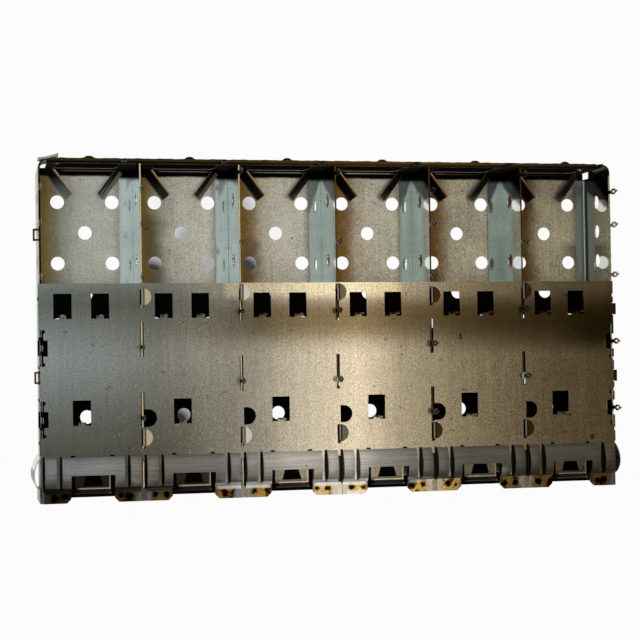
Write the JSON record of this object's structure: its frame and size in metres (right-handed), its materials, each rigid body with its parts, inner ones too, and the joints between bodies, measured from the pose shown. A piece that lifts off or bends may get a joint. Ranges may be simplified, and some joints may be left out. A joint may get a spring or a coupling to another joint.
{
  "type": "ganged transceiver cage",
  "caption": "Ganged sheet-metal cage that shields and guides pluggable transceiver modules on a board, with press pins, vented walls, latch tongues and front contact springs.",
  "frame": {"origin": "bottom centre of the bounding box, with the cage lying on its top wall as pictured", "axes": "+Z towards the host board (the pins point up), -Y out of the ports, +X to the right when looking down on the board side with the ports toward the viewer"},
  "size_m": [0.0876, 0.0484, 0.0139],
  "materials": {
    "cover": "satin plated sheet steel or copper alloy, finely brushed",
    "rear_plate": "satin plated sheet",
    "base_plate": "satin plated sheet, brushed along the depth, faintly mottled",
    "divider": "satin plated sheet with bright cut edges",
    "contact_spring": "rolled spring strip, slightly violet grey, heat-tinted at the weld spots"
  },
  "bodies": {
    "root": {"cover": "cover", "rear_plate": "rear_plate", "base_plate": "base_plate", "divider_1": "divider", "divider_2": "divider", "divider_3": "divider", "divider_4": "divider", "divider_5": "divider", "bottom_spring_1": "contact_spring", "bottom_spring_2": "contact_spring", "bottom_spring_3": "contact_spring", "bottom_spring_4": "contact_spring", "bottom_spring_5": "contact_spring", "bottom_spring_6": "contact_spring", "top_spring_1": "contact_spring", "top_spring_2": "contact_spring", "top_spring_3": "contact_spring", "top_spring_4": "contact_spring", "top_spring_5": "contact_spring", "top_spring_6": "contact_spring", "side_spring_left": "contact_spring", "side_spring_right": "contact_spring"}
  },
  "joints": []
}
